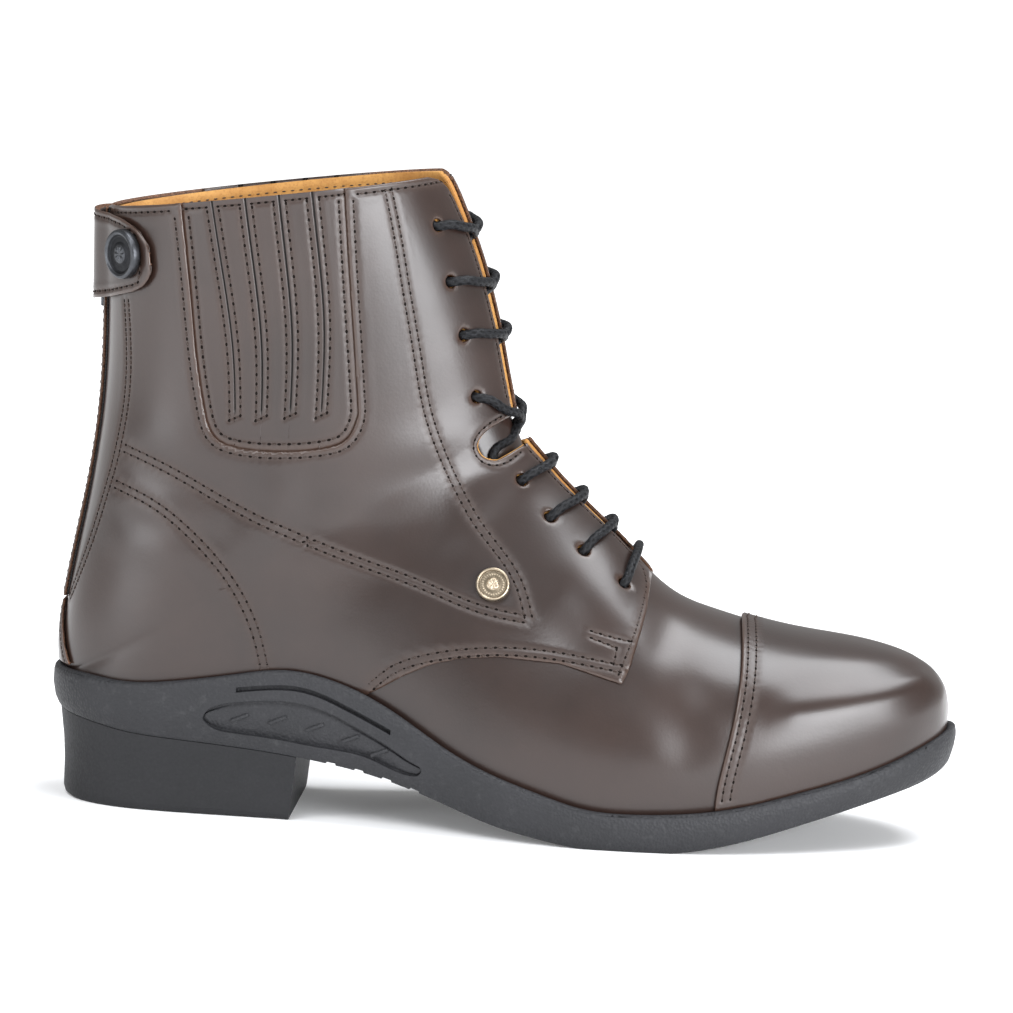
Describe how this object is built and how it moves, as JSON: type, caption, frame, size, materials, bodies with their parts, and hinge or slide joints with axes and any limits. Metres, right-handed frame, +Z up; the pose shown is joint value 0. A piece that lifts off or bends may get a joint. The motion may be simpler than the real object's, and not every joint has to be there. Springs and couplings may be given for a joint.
{
  "type": "lace-up ankle boot",
  "caption": "Right lace-up ankle boot with toe cap, slit side gussets, back zip under a press-stud strap, and a moulded sole with a block heel.",
  "frame": {"origin": "on the floor, under the middle of the boot's box", "axes": "+X towards the toe, +Y towards the medial side, +Z up"},
  "size_m": [0.2872, 0.105, 0.2031],
  "materials": {
    "sole_rubber": "matte, fine moulded grain",
    "heel_rubber": "matte",
    "zip_tape": "black woven tape",
    "lace": "black, waxed and braided",
    "pewter": "aged, softly polished",
    "gunmetal": "black, satin",
    "lining": "soft tan lining",
    "leather": "dark brown, waxed and polished"
  },
  "bodies": {
    "root": {"outsole": "sole_rubber", "heel": "heel_rubber", "insole": "lining", "upper": "leather", "toe_cap": "leather", "tongue": "leather", "gusset_lateral": "leather", "gusset_medial": "leather", "back_zip": "zip_tape", "heel_tab": "leather", "back_strap": "leather", "strap_stud": "gunmetal", "rivet": "pewter", "lace_crossing_1": "lace", "lace_crossing_2": "lace", "lace_crossing_3": "lace", "lace_crossing_4": "lace", "lace_crossing_5": "lace", "lace_crossing_6": "lace", "lace_crossing_7": "lace", "lace_bar": "lace"}
  },
  "joints": []
}
